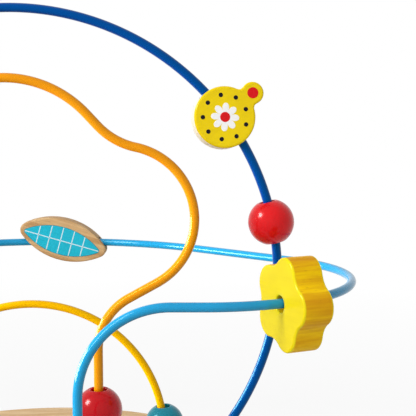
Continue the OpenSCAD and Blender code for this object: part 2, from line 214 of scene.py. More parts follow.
@named
class Finishes(bpy.types.PropertyGroup):
    """Colours of the coatings, paints and woods."""

    hoop: colour("Coating of the hoop", 0, 52, 126)
    wavy: colour("Coating of the wavy wire", 210, 129, 4)
    loop: colour("Coating of the level loop", 8, 132, 180)
    arch: colour("Coating of the arch", 220, 166, 2)
    hoop_shine: colour("Tint of the hoop's gloss", 60, 222, 255)
    wavy_shine: colour("Tint of the wavy wire's gloss", 255, 250, 120)
    loop_shine: colour("Tint of the loop's gloss", 200, 255, 250)
    arch_shine: colour("Tint of the arch's gloss", 220, 180, 40)
    wire_gloss: amount("Specular level of the wires' coating", 0.5)
    bead_gloss: amount("Specular level of the beads' paint", 0.4)
    red: colour("Paint of the red beads", 216, 16, 22)
    # This red is the red beads' red darkened as painted shade, for the bead that sits low on the wavy wire's
    # leg
    crimson: colour("Paint of the red bead on the wavy wire's leg", 190, 12, 22)
    yellow: colour("Paint of the yellow beads", 238, 208, 2)
    lemon: colour("Paint of the flower's faces", 236, 216, 14)
    green: colour("Paint of the green beads", 30, 140, 70)
    teal: colour("Paint of the teal bead", 20, 130, 150)
    blue: colour("Paint of the blue bead", 18, 84, 176)
    orange: colour("Paint of the orange bead", 236, 120, 16)
    stain: colour("Stain on the flower's sides", 250, 206, 2)
    stain_dark: colour("Stain in the grain of the flower's sides", 202, 128, 14)
    cream: colour("Bare sides of the disc", 253, 248, 230)
    cream_dark: colour("Grain of the disc's bare sides", 246, 234, 206)
    wood: colour("Varnished wood of the board", 236, 206, 160)
    wood_dark: colour("Grain of the board", 204, 160, 106)
    rim: colour("Bare wood of the leaf", 212, 178, 130)
    rim_dark: colour("Grain of the leaf", 172, 128, 80)
    panel: colour("Paint of the leaf's panel", 34, 186, 214)
    panel_dark: colour("Line round the leaf's panel", 30, 128, 146)
    white: colour("White print", 246, 246, 244)
    pale: colour("Lines on the leaf's panel", 204, 236, 246)
    black: colour("Dark print", 16, 16, 28)
    plastic: colour("Plastic of the collars", 236, 236, 230)
    rubber: colour("Rubber of the foot pads", 46, 46, 48)


@named
class Studio(bpy.types.PropertyGroup):
    """The camera, the lamps and the white sweep."""

    camera: bpy.props.FloatVectorProperty(
        description="Place of the camera", default=(0.106, -0.585, 0.247), subtype="TRANSLATION"
    )
    pitch: angle("How far the camera looks down", math.degrees(math.atan(0.106)))
    focal: amount("Focal length in pixels of the picture", 1000)
    key: amount("Power of the lamp on the upper left, in watts", 8)
    spot_panel: amount("Power of the panel that only gloss shows, in watts", 22)
    wire_strip: amount("Power of the strip lamp that lights only the wires, in watts", 8)
    wire_lamp: amount("Power of the wide lamp that lights only the wires, in watts", 28)
    sky_bright: amount("Strength of the light from the front left", 1.9)
    sky_dim: amount("Strength of the light from the back right", 0.03)
    shadow: amount("Share of the floor's colour that takes shadows, near the maze", 0.12)


def settings(*names):
    """The scene's groups of settings of those names."""
    return [getattr(bpy.context.scene, "maze_" + name) for name in names]


# Places


def shift(x, y, z):
    """A move, as a matrix."""
    matrix = np.eye(4)
    matrix[:3, 3] = (x, y, z)
    return matrix


def turn(axis, amount_of_turn):
    """A turn about X, Y or Z by the right-hand rule, as a matrix."""
    c, s = math.cos(amount_of_turn), math.sin(amount_of_turn)
    first, second = {"X": (1, 2), "Y": (2, 0), "Z": (0, 1)}[axis]
    matrix = np.eye(4)
    matrix[[first, second], [first, second]] = c
    matrix[first, second] = -s
    matrix[second, first] = s
    return matrix


def placed(points, matrix):
    """Points moved by a matrix."""
    return points @ matrix[:3, :3].T + matrix[:3, 3]


# Upward share of an axis past which it is steep
STEEP = 0.9


def standing_on(axis, centre):
    """A matrix whose Z runs along an axis through a centre."""
    along = np.asarray(axis) / np.linalg.norm(axis)
    helper = UP if abs(along[2]) < STEEP else np.array((1.0, 0.0, 0.0))
    aside = np.cross(helper, along)
    aside /= np.linalg.norm(aside)
    matrix = np.eye(4)
    matrix[:3, 0] = aside
    matrix[:3, 1] = np.cross(along, aside)
    matrix[:3, 2] = along
    matrix[:3, 3] = centre
    return matrix


def nodes_of(start):
    """The nodes whose names start so."""
    return [node for node in NODE_BODY if node.startswith(start)]


def box_of(node):
    """The lower and the upper corner of a node's box."""
    return np.array(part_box(node))


def middle(node):
    """The middle of a node's box."""
    return box_of(node).mean(0)


def upright_at(node):
    """A move to the upright line through a node's middle."""
    x, y, _ = middle(node)
    return shift(x, y, 0)


def joint_of(body):
    """The joint that moves a body."""
    return next(joint for joint in JOINTS.values() if joint["child"] == body)


def bead_place(node):
    """The place of a round bead: its middle, with Z along the path that its joint takes it."""
    joint = joint_of(NODE_BODY[node])
    centre = middle(node)
    axis = np.array(joint["axis"], float)
    if joint["type"] == "hinge":
        axis = np.cross(axis, centre - np.array(joint["pos_m"]))
    return standing_on(axis, centre)


# Surfaces


def skin(rows, closed, bands):
    """Faces of a grid whose columns close on themselves. Closed rows make a ring of rows, and open ones are
    capped by a fan to the middle of the first and the last row. Bands give each stretch of rows its
    material."""
    columns = rows.shape[1]
    corner = np.arange(rows.shape[0] * columns).reshape(rows.shape[:2])
    after = np.roll(corner, -1, 1)
    quads = np.stack([corner, after, np.roll(after, -1, 0), np.roll(corner, -1, 0)], axis=-1)
    points = rows.reshape(-1, 3)
    if closed:
        return points, quads.reshape(-1, 4), np.empty((0, 3), int), np.repeat(bands, columns)
    first = np.full(columns, len(points))
    front = np.stack([first, after[0], corner[0]], axis=-1)
    back = np.stack([first + 1, corner[-1], after[-1]], axis=-1)
    points = np.vstack([points, rows[0].mean(0), rows[-1].mean(0)])
    materials = np.repeat(np.r_[bands[: len(rows) - 1], bands[0], bands[-1]], columns)
    return points, quads[:-1].reshape(-1, 4), np.vstack([front, back]), materials


def inside_out(points, quads, triangles):
    """Whether the faces point inwards: the sum of the cones from the origin to the faces is then negative."""
    split = np.vstack([quads[:, [0, 1, 2]], quads[:, [0, 2, 3]], triangles])
    a, b, c = (points[split[:, i]] for i in range(3))
    return np.einsum("ij,ij->", a, np.cross(b, c)) < 0


def keep_grain(mesh, points):
    """Keeps a mesh's local points as the attribute that its grain follows."""
    if "grain" in mesh.attributes:
        mesh.attributes.remove(mesh.attributes["grain"])
    grain = mesh.attributes.new("grain", "FLOAT_VECTOR", "POINT")
    grain.data.foreach_set("vector", points.astype(np.float32).ravel())


def new_object(name, data):
    """An object in the scene's collection."""
    made = bpy.data.objects.new(name, data)
    bpy.context.scene.collection.objects.link(made)
    return made


def make_mesh(name, rows, matrix, closed=False, bands=None):
    """An object whose mesh is a grid of local points, put in its place by a matrix. The local points are kept
    as the attribute that grain follows."""
    bands = np.zeros(len(rows), int) if bands is None else np.asarray(bands)
    points, quads, triangles, materials = skin(np.asarray(rows), closed, bands)
    if inside_out(points, quads, triangles):
        quads, triangles = quads[:, ::-1], triangles[:, ::-1]
    mesh = bpy.data.meshes.new(name)
    mesh.from_pydata(placed(points, matrix).tolist(), [], quads.tolist() + triangles.tolist())
    mesh.polygons.foreach_set("material_index", materials.astype(np.int32))
    mesh.polygons.foreach_set("use_smooth", np.ones(len(mesh.polygons), bool))
    keep_grain(mesh, points)
    mesh.update()
    return new_object(name, mesh)


def dress(made, node, *materials, stands_for=True):
    """Gives a piece its materials and puts it on a node's body. It stands for the node unless it is print."""
    for material in materials:
        made.data.materials.append(material)
    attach(made, NODE_BODY[node])
    if stands_for:
        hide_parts(node)
    return made


# Angle past which the edges of a cut piece are crisp
CUT_CRISP = math.radians(40)


def cut(made, cutter, matrix):
    """Takes a cutter out of a piece that a matrix put in its place, and leaves its edges crisp."""
    modifier = made.modifiers.new("cut", "BOOLEAN")
    modifier.operation = "DIFFERENCE"
    modifier.solver = "EXACT"
    modifier.object = cutter
    whole = made.data
    made.data = bpy.data.meshes.new_from_object(made.evaluated_get(bpy.context.evaluated_depsgraph_get()))
    made.modifiers.clear()
    made.data.set_sharp_from_angle(angle=CUT_CRISP)
    points = np.empty(3 * len(made.data.vertices))
    made.data.vertices.foreach_get("co", points)
    keep_grain(made.data, placed(points.reshape(-1, 3), np.linalg.inv(matrix)))
    for spare in (whole, cutter.data):
        bpy.data.meshes.remove(spare)


def circle_of(columns):
    """Points of a unit circle."""
    around = FULL * np.arange(columns) / columns
    return np.stack([np.cos(around), np.sin(around)], axis=-1)


def revolved(profile, columns):
    """A profile of radius and height carried round Z."""
    ring = circle_of(columns)
    flat = profile[:, None, :1] * ring[None]
    height = np.broadcast_to(profile[:, None, 1:], flat.shape[:2] + (1,))
    return np.concatenate([flat, height], axis=-1)


# Number of points along a rounding, and half angle past which a corner counts as straight
ROUND_STEPS = 9
STRAIGHT = 0.49 * math.pi


def rounded(corners, steps=ROUND_STEPS):
    """A profile through corners of radius, height and rounding: each rounding is an arc that touches both
    sides."""
    corners = np.asarray(corners, float)
    stretches = []
    for before, corner, after in zip(np.roll(corners, 1, 0), corners, np.roll(corners, -1, 0)):
        here, size = corner[:2], corner[2]
        back = (before[:2] - here) / np.linalg.norm(before[:2] - here)
        onward = (after[:2] - here) / np.linalg.norm(after[:2] - here)
        half = math.acos(np.clip(back @ onward, -1, 1)) / 2
        if size == 0 or half > STRAIGHT:
            stretches.append(here[None])
            continue
        centre = here + (back + onward) / np.linalg.norm(back + onward) * size / math.sin(half)
        start = here + back * size / math.tan(half) - centre
        finish = here + onward * size / math.tan(half) - centre
        around = np.linspace(0, 1, steps)[:, None] * (math.pi - 2 * half)
        sideways = finish - start * math.cos(math.pi - 2 * half)
        sideways = sideways / np.linalg.norm(sideways) * size
        stretches.append(centre + (start * np.cos(around) + sideways * np.sin(around)))
    return np.vstack(stretches)


def arc(centre, radius, start, finish, steps):
    """Points of an arc, without its last one."""
    around = np.linspace(start, finish, steps, endpoint=False)
    return np.asarray(centre) + radius * np.stack([np.cos(around), np.sin(around)], axis=-1)


def outward(outline):
    """Outward unit normals of an outline that runs anticlockwise: its direction turned by a right angle."""
    along = np.roll(outline, -1, 0) - np.roll(outline, 1, 0)
    along /= np.linalg.norm(along, axis=1, keepdims=True)
    return np.stack([along[:, 1], -along[:, 0]], axis=-1)


# Materials of a slab's stretches
FACE, SIDE, BORE = 0, 1, 2
# Places of a face's rows, as shares of the way to the outline, and number of rows round an edge
FACE_SHARES = (0.12, 0.4, 0.7, 0.9, 0.97)
EDGE_STEPS = 7


def slab(outline, thickness, edge, hole=0.0, mouth=0.0):
    """Rows of a plate with rounded edges. Each row lies a share of the way from a ring round the middle to
    the outline, drawn in by an inset, at a height. With a hole, the rows go on through it and close."""
    quarter = np.linspace(0, SQUARE, EDGE_STEPS)
    half, face_rows = thickness / 2, np.ones(len(FACE_SHARES))
    share = np.r_[FACE_SHARES, np.ones(EDGE_STEPS)]
    inset = np.r_[edge * face_rows, edge * (1 - np.sin(quarter))]
    height = np.r_[half * face_rows, half - edge * (1 - np.cos(quarter))]
    ring = np.full(len(share), hole + mouth)
    bands = np.array([FACE] * (len(share) - 1) + [SIDE])
    if hole:
        sweep = quarter[:-1]
        share, inset = (np.r_[np.zeros(EDGE_STEPS), rows] for rows in (share, inset))
        ring = np.r_[hole, hole + mouth * (1 - np.cos(sweep)), ring]
        height = np.r_[half / 3, half - mouth * (1 - np.sin(sweep)), height]
        bands = np.r_[BORE, [FACE] * len(sweep), bands]
    side_height = (half - edge) / 3
    share = np.r_[share, 1, 1, share[::-1]][:, None, None]
    inset, ring = (np.r_[rows, 0, 0, rows[::-1]][:, None, None] for rows in (inset, ring))
    height = np.r_[height, side_height, -side_height, -height[::-1]]
    bands = np.r_[bands, SIDE, SIDE, bands[-2::-1], BORE if hole else FACE]
    unit = outline / np.linalg.norm(outline, axis=1, keepdims=True)
    flat = (1 - share) * ring * unit[None] + share * (outline[None] - inset * outward(outline)[None])
    level = np.broadcast_to(height[:, None, None], flat.shape[:2] + (1,))
    return np.concatenate([flat, level], axis=-1), bands


# Wires


def run(distance):
    """A straight step of a bending program."""
    return distance, 0.0, 0.0, 0.0


def bend(radius, turned, roll=0.0):
    """A bent step of a bending program, after the rod is rolled."""
    return 0.0, radius, turned, roll


# Distance between rings along a straight run, angle between rings along a bend, and faces round a wire
RUN_STEP = 4 * MM
BEND_STEP = math.radians(1)
WIRE_SIDES = 36
# Level share of a heading below which it counts as upright
TINY = 1e-6


def rod_path(foot, steps):
    """Points and headings along a bending program that starts upwards at a foot. A run goes straight on, and
    a bend turns from Z towards X round a centre on X."""
    here = shift(*foot)
    points, headings = [], []
    for distance, radius, turned, roll in steps:
        here = here @ turn("Z", roll)
        if radius:
            part = np.linspace(0, turned, 2 + int(turned / BEND_STEP))[:, None]
            local = np.hstack([radius * (1 - np.cos(part)), 0 * part, radius * np.sin(part)])
            heading = np.hstack([np.sin(part), 0 * part, np.cos(part)])
        else:
            part = np.linspace(0, distance, 2 + int(distance / RUN_STEP))[:, None]
            local = part * UP
            heading = np.tile(UP, (len(part), 1))
        points.append(placed(local[:-1], here))
        headings.append(heading[:-1] @ here[:3, :3].T)
        here = here @ shift(*local[-1]) @ turn("Y", turned)
    points.append(here[None, :3, 3])
    headings.append(here[None, :3, 2])
    return np.vstack(points), np.vstack(headings)


def tube(path, radius, level):
    """A circle carried along a path. An upright wire's rings start at Y, and a level one's at the level side
    of its heading."""
    points, headings = path
    aside = np.tile((0.0, 1.0, 0.0), (len(points), 1))
    if level:
        flat = np.cross(UP, headings)
        size = np.linalg.norm(flat, axis=1, keepdims=True)
        aside = np.where(size > TINY, flat / np.maximum(size, TINY), -aside)
    across = np.cross(headings, aside)
    ring = circle_of(WIRE_SIDES)[None]
    return points[:, None] + radius * (ring[..., :1] * aside[:, None] + ring[..., 1:] * across[:, None])


def hoop_path(wires):
    """Two feet that bend outwards, and one bend that joins them over the top. The feet's bends and the hoop
    touch where the line between their centres crosses them."""
    centre = np.array(JOINTS["disc_along_hoop"]["pos_m"])
    foot_centre = np.array(JOINTS["green_along_hoop_foot"]["pos_m"])
    foot_x = -foot_centre[0] - wires.hoop_foot_radius
    flare = math.asin((centre[2] - foot_centre[2]) / (wires.hoop_radius + wires.hoop_foot_radius))
    leg = run(foot_centre[2] - wires.end_height)
    foot = bend(wires.hoop_foot_radius, flare, math.pi)
    top = bend(wires.hoop_radius, math.pi + 2 * flare, math.pi)
    return rod_path((-foot_x, centre[1], wires.end_height), [leg, foot, top, foot, leg])


def wavy_path(wires):
    """A leg, a swing outwards, a side lobe and a neck on each side, and a crest whose radius closes them at
    the middle: its centre lies on the middle line, square to the neck's last heading."""
    swing_head = SQUARE - wires.wavy_swing
    lobe_head = swing_head + wires.wavy_lobe
    neck_head = lobe_head - wires.wavy_neck
    crest_x = wires.wavy_leg + wires.wavy_swing_radius * (1 - math.cos(wires.wavy_swing))
    crest_x += wires.wavy_swing_run * math.cos(swing_head)
    crest_x += wires.wavy_lobe_radius * (math.sin(lobe_head) - math.sin(swing_head))
    crest_x += wires.wavy_neck_radius * (math.sin(lobe_head) - math.sin(neck_head))
    crest_x += wires.wavy_neck_run * math.cos(neck_head)
    crest = bend(crest_x / math.sin(neck_head), FULL - 2 * neck_head, math.pi)
    rise = [
        run(wires.wavy_leg_top - wires.end_height),
        bend(wires.wavy_swing_radius, wires.wavy_swing, math.pi),
        run(wires.wavy_swing_run),
        bend(wires.wavy_lobe_radius, wires.wavy_lobe, math.pi),
        bend(wires.wavy_neck_radius, wires.wavy_neck, math.pi),
        run(wires.wavy_neck_run),
    ]
    return rod_path((-wires.wavy_leg, -wires.wavy_front, wires.end_height), rise + [crest] + rise[::-1])


def loop_path(wires):
    """Two legs that turn level, an end turn on each side, and a back. The straight sides are as long as the
    tangent between the end turn and the back."""
    turn_x, turn_y, height = JOINTS["flower_along_loop"]["pos_m"]
    spare = wires.loop_turn_radius - wires.loop_back_radius
    side = run((turn_x + spare * math.sin(wires.loop_turn)) / -math.cos(wires.loop_turn))
    leg = run(height - wires.loop_leg_radius - wires.end_height)
    front = run(turn_x - wires.loop_leg - wires.loop_leg_radius)
    level, end = (wires.loop_leg_radius, SQUARE), (wires.loop_turn_radius, wires.loop_turn)
    back = bend(wires.loop_back_radius, FULL - 2 * wires.loop_turn)
    steps = [leg, bend(*level, math.pi), front, bend(*end, -SQUARE), side, back]
    steps += [side, bend(*end), front, bend(*level, SQUARE), leg]
    return rod_path((-wires.loop_leg, turn_y - wires.loop_turn_radius, wires.end_height), steps)


def arch_path(wires):
    """Two legs and half a circle."""
    x, y, height = JOINTS["teal_along_arch"]["pos_m"]
    leg, top = run(height - wires.end_height), bend(wires.arch_radius, math.pi)
    return rod_path((x - wires.arch_radius, y, wires.end_height), [leg, top, leg])


ROUTES = {"hoop": hoop_path, "wavy": wavy_path, "loop": loop_path, "arch": arch_path}


# Outlines of the flat beads

# Numbers of points along their arcs
TAB_STEPS, FILLET_STEPS, RIM_STEPS = 30, 14, 96
PETAL_STEPS, HOLLOW_STEPS = 30, 18
LEAF_TIP_STEPS, LEAF_EDGE_STEPS = 36, 72


def fillet_centre(first, first_radius, second, second_radius, radius):
    """Centre of a round of that radius which touches two rounds, to the left of the line between them."""
    first, second = np.asarray(first), np.asarray(second)
    gap = np.linalg.norm(second - first)
    ahead = (second - first) / gap
    along = (gap**2 + (first_radius + radius) ** 2 - (second_radius + radius) ** 2) / (2 * gap)
    aside = math.sqrt((first_radius + radius) ** 2 - along**2)
    return first + along * ahead + aside * np.array((-ahead[1], ahead[0]))


def direction(offset):
    """Angle of an offset from X, from 0 to a full turn."""
    return math.atan2(offset[1], offset[0]) % FULL


def disc_outline(beads):
    """The rim, the upper fillet and the tab's upper half as arcs that touch, mirrored to the lower half."""
    rim, tab = beads.disc / 2, np.array((beads.tab_reach, 0.0))
    fillet = fillet_centre((0, 0), rim, tab, beads.tab_radius, beads.tab_fillet)
    rim_end, tab_start = direction(fillet), direction(fillet - tab)
    upper = np.vstack([
        arc(tab, beads.tab_radius, 0, tab_start, TAB_STEPS),
        arc(fillet, beads.tab_fillet, math.pi + tab_start, math.pi + rim_end, FILLET_STEPS),
        arc((0, 0), rim, rim_end, math.pi, RIM_STEPS),
    ])
    return np.vstack([upper, [[-rim, 0]], upper[:0:-1] * (1, -1)])


def flower_outline(beads):
    """One petal's arc and one hollow's arc, which touch, repeated round the middle."""
    step = FULL / beads.petals
    tip = np.array((beads.petal_reach - beads.petal_radius, 0.0))
    next_tip = tip[0] * np.array((math.cos(step), math.sin(step)))
    hollow = fillet_centre(next_tip, beads.petal_radius, tip, beads.petal_radius, beads.petal_hollow)
    leave = direction(hollow - tip)
    enter = direction(next_tip - hollow)
    petal = arc(tip, beads.petal_radius, -leave, leave, PETAL_STEPS)
    dip = arc(hollow, beads.petal_hollow, math.pi + leave, enter, HOLLOW_STEPS)
    one = np.vstack([petal, dip])
    return np.vstack([placed_flat(one, i * step) for i in range(beads.petals)])


def placed_flat(points, turned):
    """Flat points turned about the middle."""
    c, s = math.cos(turned), math.sin(turned)
    return points @ np.array(((c, s), (-s, c)))


def leaf_edge(long, wide, tip):
    """Radius of a leaf shape's long edges, which touch the round tips and reach half the width at the
    middle."""
    tip_x = long / 2 - tip
    return (tip_x**2 + (wide / 2) ** 2 - tip**2) / (wide - 2 * tip)


def leaf_outline(long, wide, tip):
    """Two long arcs and two round tips that touch."""
    tip_x, half, edge = long / 2 - tip, wide / 2, leaf_edge(long, wide, tip)
    lean = math.atan2(edge - half, tip_x)
    right = arc((tip_x, 0), tip, -lean, lean, LEAF_TIP_STEPS)
    upper = arc((0, half - edge), edge, lean, math.pi - lean, LEAF_EDGE_STEPS)
    return np.vstack([right, upper, -right, -upper])


# Materials


def put(tree, kind, inputs=None, **values):
    """A node with its values, and with its inputs set or linked."""
    node = tree.nodes.new(kind)
    for name, value in values.items():
        setattr(node, name, value)
    for name, value in (inputs or {}).items():
        if isinstance(value, bpy.types.NodeSocket):
            tree.links.new(value, node.inputs[name])
        else:
            node.inputs[name].default_value = value
    return node


# Places of the sockets of a colour Mix node
MIX_FACTOR, MIX_A, MIX_B, MIX_RESULT = 0, 6, 7, 2


def opaque(rgb):
    """A colour with full alpha."""
    return (*rgb, 1.0)


def mixed(tree, factor, first, second, blend_type="MIX"):
    """Two colours mixed."""
    inputs = {MIX_FACTOR: factor, MIX_A: first, MIX_B: second}
    return put(tree, "ShaderNodeMix", inputs, data_type="RGBA", blend_type=blend_type).outputs[MIX_RESULT]


def ranged(tree, value, low, high, to_low, to_high):
    """A value carried from one range to another and kept inside it."""
    inputs = {"Value": value, "From Min": low, "From Max": high, "To Min": to_low, "To Max": to_high}
    return put(tree, "ShaderNodeMapRange", inputs, clamp=True).outputs[0]


def maths(tree, operation, first, second):
    """Two values put together."""
    return put(tree, "ShaderNodeMath", {0: first, 1: second}, operation=operation).outputs[0]


NOISE_ROUGHNESS = 0.55


def noise(tree, vector, scale, detail, stretch=(1, 1, 1)):
    """Noise, with its vector stretched first."""
    inputs = {"Vector": vector, "Scale": stretch}
    stretched = put(tree, "ShaderNodeMapping", inputs, vector_type="POINT").outputs[0]
    inputs = {"Vector": stretched, "Scale": scale, "Detail": detail, "Roughness": NOISE_ROUGHNESS}
    return put(tree, "ShaderNodeTexNoise", inputs).outputs[0]


def dyed(tree, rgb, *tint):
    """A colour multiplied by a tint."""
    return mixed(tree, 1.0, rgb, opaque(tint), "MULTIPLY")


SURFACE_OUTPUTS = {"Color": "Color", "Roughness": "Float", "Height": "Float"}
# Stretches of noise that make fibres, short pores, long streaks and slow waves along Z
FIBRE, PORE, STREAK, WAVE = (1, 1, 0.07), (1, 1, 0.12), (1, 1, 0.05), (1, 1, 0.25)
# How far the growth rings wander, in radians of their wave
WANDER = 9


def new_group(name, **sockets):
    """A node group that works out a surface from a vector and other inputs, and the inputs' sockets in it."""
    group = bpy.data.node_groups.new(name, "ShaderNodeTree")
    for side, kinds in (("INPUT", {"Vector": "Vector", **sockets}), ("OUTPUT", SURFACE_OUTPUTS)):
        for label, kind in kinds.items():
            group.interface.new_socket(name=label, in_out=side, socket_type="NodeSocket" + kind)
    return group, put(group, "NodeGroupInput").outputs


def paint_group():
    """Paint on turned or sawn wood: the fibres below show a little in its colour and raise it, and it is
    cloudy and a little rippled."""
    group, given = new_group("paint", Paint="Color", Show="Float")
    fibres = noise(group, given["Vector"], 420, 4, FIBRE)
    clouds = noise(group, given["Vector"], 55, 2)
    ripple = noise(group, given["Vector"], 900, 1)
    deep = dyed(group, given["Paint"], 0.72, 0.66, 0.6)
    showing = maths(group, "MULTIPLY", ranged(group, fibres, 0.42, 0.68, 0, 1), given["Show"])
    shown = mixed(group, showing, given["Paint"], deep)
    thick = dyed(group, shown, 0.9, 0.88, 0.88)
    put(group, "NodeGroupOutput", {
        "Color": mixed(group, ranged(group, clouds, 0.35, 0.7, 0, 0.7), shown, thick),
        "Roughness": ranged(group, clouds, 0.3, 0.7, 0.14, 0.22),
        "Height": maths(group, "ADD", maths(group, "MULTIPLY", ripple, 0.3), fibres),
    })
    return group


def wood_group():
    """Wood: slanting growth rings bent by noise, fine fibres along Z and short dark pores."""
    group, given = new_group("wood", Light="Color", Dark="Color", Rings="Float")
    wander = maths(group, "MULTIPLY", noise(group, given["Vector"], 30, 2, WAVE), WANDER)
    across = put(group, "ShaderNodeSeparateXYZ", {0: given["Vector"]}).outputs["X"]
    bent = maths(group, "ADD", maths(group, "MULTIPLY", across, given["Rings"]), wander)
    rings = maths(group, "SINE", bent, 0)
    fibres = noise(group, given["Vector"], 620, 5, FIBRE)
    pores = noise(group, given["Vector"], 1500, 2, PORE)
    streaks = noise(group, given["Vector"], 150, 3, STREAK)
    banded = mixed(group, ranged(group, rings, -0.2, 1, 0, 0.55), given["Light"], given["Dark"])
    streaked = mixed(group, ranged(group, streaks, 0.42, 0.68, 0, 0.5), banded, given["Dark"])
    fibrous = mixed(group, ranged(group, fibres, 0.4, 0.75, 0, 0.6), streaked, given["Dark"])
    dark = dyed(group, given["Dark"], 0.6, 0.55, 0.5)
    put(group, "NodeGroupOutput", {
        "Color": mixed(group, ranged(group, pores, 0.64, 0.74, 0, 0.5), fibrous, dark),
        "Roughness": ranged(group, fibres, 0.3, 0.7, 0.42, 0.6),
        "Height": maths(group, "SUBTRACT", fibres, maths(group, "MULTIPLY", pores, 0.4)),
    })
    return group


def coating_group():
    """A dipped coating on wire: a little uneven in colour and gloss, and faintly rippled."""
    group, given = new_group("coating", Coating="Color")
    clouds = noise(group, given["Vector"], 40, 2)
    ripple = noise(group, given["Vector"], 90, 0)
    deep = dyed(group, given["Coating"], 0.93, 0.94, 0.95)
    put(group, "NodeGroupOutput", {
        "Color": mixed(group, ranged(group, clouds, 0.35, 0.7, 0, 1), given["Coating"], deep),
        "Roughness": ranged(group, ripple, 0.3, 0.7, 0.09, 0.12),
        "Height": ripple,
    })
    return group


GROUPS = {}


def group_named(name):
    """A node group, built once."""
    makers = {"paint": paint_group, "wood": wood_group, "coating": coating_group}
    if name not in GROUPS:
        GROUPS[name] = makers[name]()
    return GROUPS[name]


def cleared(owner):
    """The node tree of a material or a world, with its nodes taken out."""
    owner.use_nodes = True
    owner.node_tree.nodes.clear()
    return owner.node_tree


# Strengths of the relief of paint, wood and coatings, and its depth
PAINT_BUMP, WOOD_BUMP, COATING_BUMP, BUMP_DEPTH = 0.18, 0.3, 0.015, 0.1 * MM
UNTURNED = (0, 0, 0)


def surface(name, group, inputs, bump, shader, grain_turn):
    """A material: a group's colour, roughness and height on a Principled shader. The pattern follows the
    piece's own grain, turned so that the fibres run the right way."""
    if name in bpy.data.materials:
        return bpy.data.materials[name]
    material = bpy.data.materials.new(name)
    tree = cleared(material)
    grain = put(tree, "ShaderNodeAttribute", attribute_name="grain").outputs["Vector"]
    turned = put(tree, "ShaderNodeMapping", {"Vector": grain, "Rotation": grain_turn}).outputs[0]
    inputs = {"Vector": turned, **inputs}
    worked_out = put(tree, "ShaderNodeGroup", inputs, node_tree=group_named(group)).outputs
    relief = {"Height": worked_out["Height"], "Strength": bump, "Distance": BUMP_DEPTH}
    linked = {"Base Color": worked_out["Color"], "Roughness": worked_out["Roughness"]}
    linked["Normal"] = put(tree, "ShaderNodeBump", relief).outputs[0]
    bsdf = put(tree, "ShaderNodeBsdfPrincipled", {**linked, **shader})
    put(tree, "ShaderNodeOutputMaterial", {"Surface": bsdf.outputs[0]})
    return material


SATIN = {"Specular IOR Level": 0.12}
DRY = {"Specular IOR Level": 0.1}
# Turns that lay the fibres along a flat piece's length instead of through it, with rings that slant across it
ALONG_X = (0, SQUARE, 1.3)
# How much the fibres show through print, through the paint of the flower, the panel and the disc, and through
# glossy paint
PRINT_SHOW, PAINT_SHOW, DISC_SHOW, GLOSSY_SHOW = 0.1, 0.12, 0.16, 0.2
# Share of white in the tint of glossy paint
TINT_WHITE = 0.45
# Growth rings of the woods, in radians of their wave for each metre
BOARD_RINGS, DISC_RINGS, FLOWER_RINGS, LEAF_RINGS = 260, 900, 420, 700


def gloss(level, tint):
    """Gloss of a coat, whose reflections take on a tint."""
    return {"Specular IOR Level": level, "Specular Tint": opaque(tint)}


def painted(name, rgb, show=PRINT_SHOW, shader=SATIN, grain_turn=UNTURNED):
    """Paint on wood."""
    inputs = {"Paint": opaque(rgb), "Show": show}
    return surface(name, "paint", inputs, PAINT_BUMP, shader, grain_turn)


def glossy(paint, finishes):
    """Glossy paint in one of the finishes' colours, which tints its gloss too, but for a share of white."""
    rgb = getattr(finishes, paint)
    tint = TINT_WHITE + (1 - TINT_WHITE) * np.array(rgb) / max(rgb)
    return painted(paint + "_paint", rgb, GLOSSY_SHOW, gloss(finishes.bead_gloss, tint))


def wooden(name, light, dark, rings, shader, grain_turn=UNTURNED):
    """Bare, stained or varnished wood."""
    inputs = {"Light": opaque(light), "Dark": opaque(dark), "Rings": rings}
    return surface(name, "wood", inputs, WOOD_BUMP, shader, grain_turn)


def coated(name, rgb, shader):
    """A dipped or moulded coating."""
    return surface(name, "coating", {"Coating": opaque(rgb)}, COATING_BUMP, shader, UNTURNED)


# Operators

# Numbers of faces round the turned pieces and the bores
BOARD_SIDES, SOCKET_SIDES, COLLAR_SIDES, PAD_SIDES, BEAD_SIDES, BORE_SIDES = 180, 48, 56, 64, 72, 64
# Numbers of points along a round bead's arc, its mouths and its bore, and along the barrel's side
BALL_STEPS, MOUTH_STEPS, WALL_STEPS, SWELL_STEPS = 72, 12, 8, 40
# Share of the barrel's height that its swelling side takes up
SWELL_SHARE = 0.9
# Angle past which the edges of a turned piece are crisp
TURNED_CRISP = math.radians(50)
# Radius inside which the board's faces are plain fans, and how far its cutters stand out of it
BOARD_CORE, CUT_PAST = 20 * MM, 5 * MM
# Roundings of a collar's toe, lip, crown and mouth
TOE, LIP, CROWN, MOUTH = 0.5 * MM, 0.3 * MM, 1.2 * MM, 0.4 * MM
# Shares of a foot pad's radius at which its underside and each of its grooves start
PAD_CORE, GROOVES = 0.15, (0.3, 0.5, 0.7)
# Corners of a groove: share of the radius past its start, share of its depth, and rounding
GROOVE = ((0, 0, 0.2 * MM), (0.03, 1, 0.1 * MM), (0.07, 1, 0.1 * MM), (0.1, 0, 0.2 * MM))
# Roundings of a foot pad's heel and top, and points along each of a pad's roundings
PAD_HEEL, PAD_TOP, PAD_STEPS = 0.8 * MM, 0.3 * MM, 5
# Numbers of points round the daisy, its heart and a dot, and how blunt the daisy's petals are
DAISY_STEPS, HEART_SIDES, DOT_SIDES, BLUNT = 240, 64, 48, 0.55
# Number of points along a side of a printed line
LINE_STEPS = 8
# Specular levels of the collars' plastic and the foot pads' rubber
COLLAR_GLOSS, PAD_GLOSS = 0.3, 0.1


